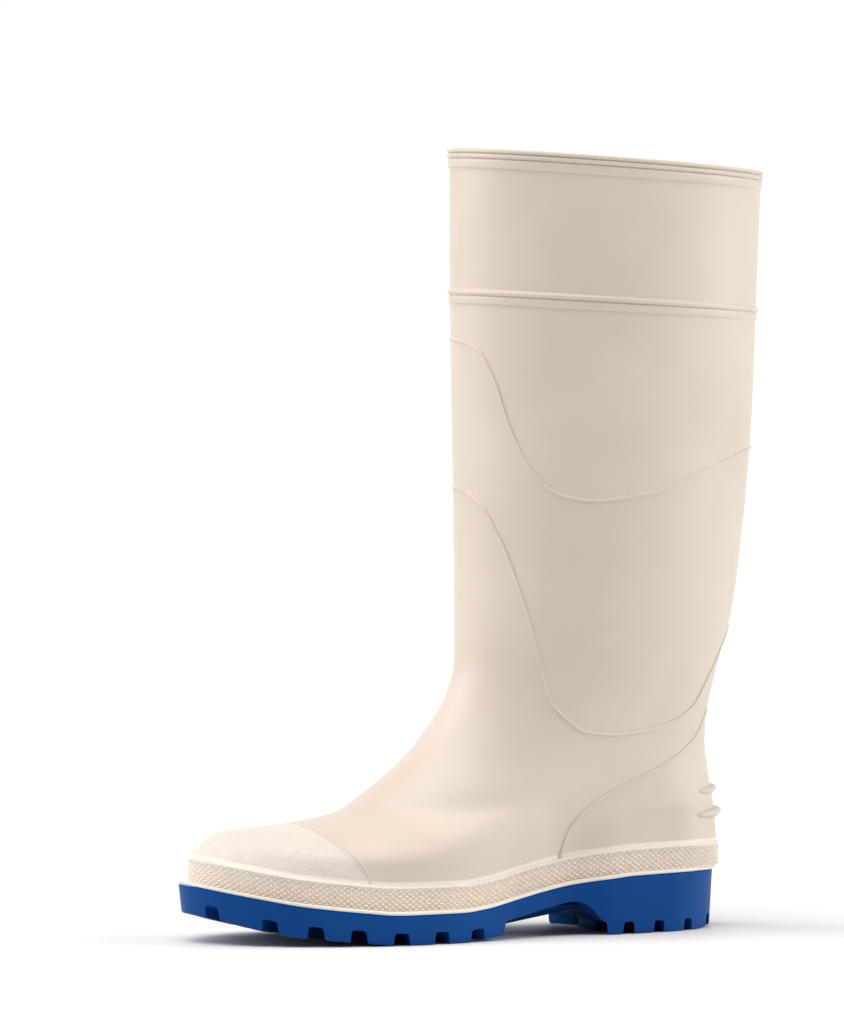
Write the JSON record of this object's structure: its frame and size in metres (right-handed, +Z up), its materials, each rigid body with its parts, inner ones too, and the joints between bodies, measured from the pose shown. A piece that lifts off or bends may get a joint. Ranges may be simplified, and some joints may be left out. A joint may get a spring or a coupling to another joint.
{
  "type": "rubber boot",
  "caption": "Knee-high moulded rubber boot for the left foot, with beaded collar, foxing band, welt lip, kick-off ribs and a lugged sole with heel and arch.",
  "frame": {"origin": "middle of the whole boot's footprint box, on the floor", "axes": "+Z up along the shaft, the longest extent; the toe points along -X and the outer side of the foot along -Y"},
  "size_m": [0.3168, 0.1264, 0.402],
  "materials": {
    "upper": "satin",
    "outsole": "satin",
    "insole": "matte"
  },
  "bodies": {
    "root": {"upper": "upper", "outsole": "outsole", "insole": "insole"}
  },
  "joints": []
}
